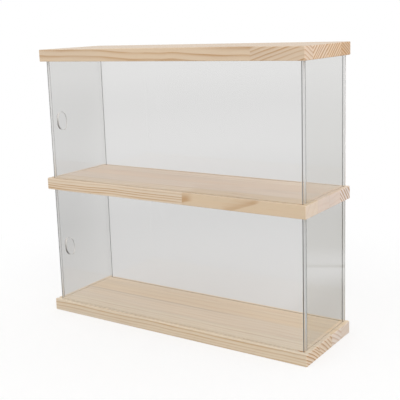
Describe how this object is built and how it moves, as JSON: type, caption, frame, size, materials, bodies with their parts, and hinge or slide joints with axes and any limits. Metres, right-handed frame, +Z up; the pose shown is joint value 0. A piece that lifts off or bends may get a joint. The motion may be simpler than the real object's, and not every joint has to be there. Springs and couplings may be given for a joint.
{
  "type": "display case",
  "caption": "Two-tier display case of pine boards with clear acrylic walls and a clear sliding door with a finger hole on each tier.",
  "frame": {"origin": "middle of the base board's underside, on the surface the case stands on", "axes": "+X to the right along the boards, +Y to the back, away from the doors, +Z up"},
  "size_m": [0.4, 0.125, 0.372],
  "materials": {
    "pine": "sanded, unlacquered",
    "clear_acrylic": "clear polished sheet"
  },
  "bodies": {
    "case": {"base_front_stave": "pine", "base_inner_front_stave": "pine", "base_inner_rear_stave": "pine", "base_rear_stave": "pine", "shelf_front_stave_left": "pine", "shelf_front_stave_right": "pine", "shelf_inner_front_stave": "pine", "shelf_inner_rear_stave": "pine", "shelf_rear_stave": "pine", "top_front_stave_left": "pine", "top_front_stave_right": "pine", "top_inner_front_stave": "pine", "top_inner_rear_stave": "pine", "top_rear_stave": "pine", "lower_left_panel": "clear_acrylic", "lower_right_panel": "clear_acrylic", "lower_back_panel": "clear_acrylic", "upper_left_panel": "clear_acrylic", "upper_right_panel": "clear_acrylic", "upper_back_panel": "clear_acrylic"},
    "lower_sliding_door": {"lower_door": "clear_acrylic"},
    "upper_sliding_door": {"upper_door": "clear_acrylic"}
  },
  "joints": [
    {"name": "lower_door_slide", "type": "slide", "parent": "case", "child": "lower_sliding_door", "axis": [-1, 0, 0], "range_m": [0, 0.4]},
    {"name": "upper_door_slide", "type": "slide", "parent": "case", "child": "upper_sliding_door", "axis": [-1, 0, 0], "range_m": [0, 0.4]}
  ]
}
